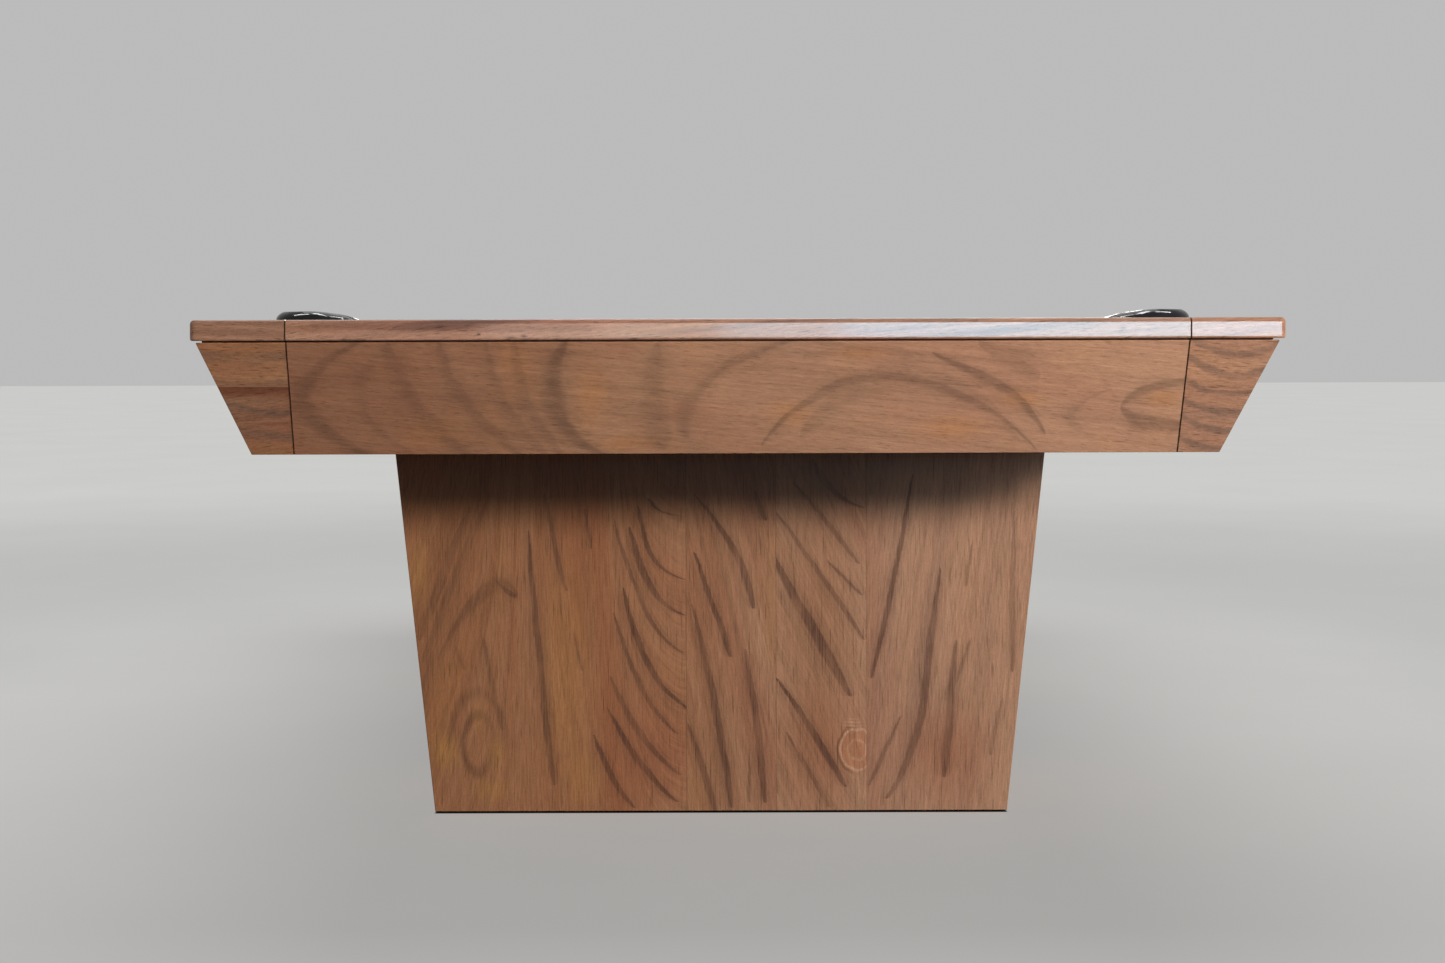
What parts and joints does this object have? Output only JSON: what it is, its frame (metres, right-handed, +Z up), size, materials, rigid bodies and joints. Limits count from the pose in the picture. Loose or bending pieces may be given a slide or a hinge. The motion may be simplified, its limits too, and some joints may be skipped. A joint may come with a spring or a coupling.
{
  "type": "pool table",
  "caption": "Pool table with flared wooden aprons, cloth-covered cushions and drop pockets, on tapered box pedestals with levelling feet.",
  "frame": {"origin": "on the floor, under the middle of the table", "axes": "+Z up, Y along the table with the front end at -Y, X across it"},
  "size_m": [1.5056, 2.6226, 0.8263],
  "materials": {
    "rail_wood": "satin clear lacquer on reddish brown hardwood",
    "apron_wood": "satin clear lacquer on reddish brown hardwood",
    "corner_wood": "satin clear lacquer on reddish brown hardwood",
    "pedestal_wood": "satin clear lacquer on reddish brown edge-glued boards",
    "frame_wood": "sawn pale softwood",
    "plywood": "birch plywood",
    "slate": "honed slate",
    "bed_cloth": "woven wool billiard cloth",
    "cushion_cloth": "woven wool billiard cloth",
    "cushion_rubber": "gum rubber",
    "pocket_gloss": "glossy black moulding",
    "liner_rubber": "matt black moulding",
    "sight": "polished pearl-white inlay",
    "zinc_steel": "zinc plated",
    "foot_steel": "zinc plated",
    "dowel_wood": "beech"
  },
  "bodies": {
    "table": {"apron_back": "apron_wood", "apron_front": "apron_wood", "apron_left": "apron_wood", "apron_right": "apron_wood", "bed_cloth": "bed_cloth", "corner_block_back_left": "corner_wood", "corner_block_back_right": "corner_wood", "corner_block_front_left": "corner_wood", "corner_block_front_right": "corner_wood", "corner_cap_back_left": "rail_wood", "corner_cap_back_right": "rail_wood", "corner_cap_front_left": "rail_wood", "corner_cap_front_right": "rail_wood", "corner_pocket_liners": "liner_rubber", "corner_pocket_rims": "pocket_gloss", "cross_beams": "frame_wood", "cushion_cloth_end": "cushion_cloth", "cushion_cloth_side": "cushion_cloth", "cushions_end": "cushion_rubber", "cushions_side": "cushion_rubber", "feather_strips": "dowel_wood", "foot_inserts": "zinc_steel", "foot_rails": "frame_wood", "long_beams": "frame_wood", "outriggers": "frame_wood", "pedestal_back_inner_panel": "pedestal_wood", "pedestal_back_outer_panel": "pedestal_wood", "pedestal_back_side_panels": "pedestal_wood", "pedestal_bolts": "zinc_steel", "pedestal_front_inner_panel": "pedestal_wood", "pedestal_front_outer_panel": "pedestal_wood", "pedestal_front_side_panels": "pedestal_wood", "pedestal_plates": "plywood", "rail_bolts": "zinc_steel", "rail_cap_back": "rail_wood", "rail_cap_front": "rail_wood", "rail_cap_left_back": "rail_wood", "rail_cap_left_front": "rail_wood", "rail_cap_right_back": "rail_wood", "rail_cap_right_front": "rail_wood", "rail_washers": "zinc_steel", "seam_dowels": "dowel_wood", "side_pocket_liners": "liner_rubber", "side_pocket_rims": "pocket_gloss", "sights": "sight", "slate_back": "slate", "slate_backing": "plywood", "slate_front": "slate", "slate_middle": "slate", "sub_rails_end": "frame_wood", "sub_rails_side": "frame_wood"},
    "foot_back_left_inner": {"foot_back_left_inner": "foot_steel"},
    "foot_back_left_outer": {"foot_back_left_outer": "foot_steel"},
    "foot_back_right_inner": {"foot_back_right_inner": "foot_steel"},
    "foot_back_right_outer": {"foot_back_right_outer": "foot_steel"},
    "foot_front_left_inner": {"foot_front_left_inner": "foot_steel"},
    "foot_front_left_outer": {"foot_front_left_outer": "foot_steel"},
    "foot_front_right_inner": {"foot_front_right_inner": "foot_steel"},
    "foot_front_right_outer": {"foot_front_right_outer": "foot_steel"}
  },
  "joints": [
    {"name": "foot_back_left_inner_travel", "type": "slide", "parent": "table", "child": "foot_back_left_inner", "axis": [0, 0, -1], "range_m": [0, 0.02]},
    {"name": "foot_back_left_outer_travel", "type": "slide", "parent": "table", "child": "foot_back_left_outer", "axis": [0, 0, -1], "range_m": [0, 0.02]},
    {"name": "foot_back_right_inner_travel", "type": "slide", "parent": "table", "child": "foot_back_right_inner", "axis": [0, 0, -1], "range_m": [0, 0.02]},
    {"name": "foot_back_right_outer_travel", "type": "slide", "parent": "table", "child": "foot_back_right_outer", "axis": [0, 0, -1], "range_m": [0, 0.02]},
    {"name": "foot_front_left_inner_travel", "type": "slide", "parent": "table", "child": "foot_front_left_inner", "axis": [0, 0, -1], "range_m": [0, 0.02]},
    {"name": "foot_front_left_outer_travel", "type": "slide", "parent": "table", "child": "foot_front_left_outer", "axis": [0, 0, -1], "range_m": [0, 0.02]},
    {"name": "foot_front_right_inner_travel", "type": "slide", "parent": "table", "child": "foot_front_right_inner", "axis": [0, 0, -1], "range_m": [0, 0.02]},
    {"name": "foot_front_right_outer_travel", "type": "slide", "parent": "table", "child": "foot_front_right_outer", "axis": [0, 0, -1], "range_m": [0, 0.02]}
  ]
}
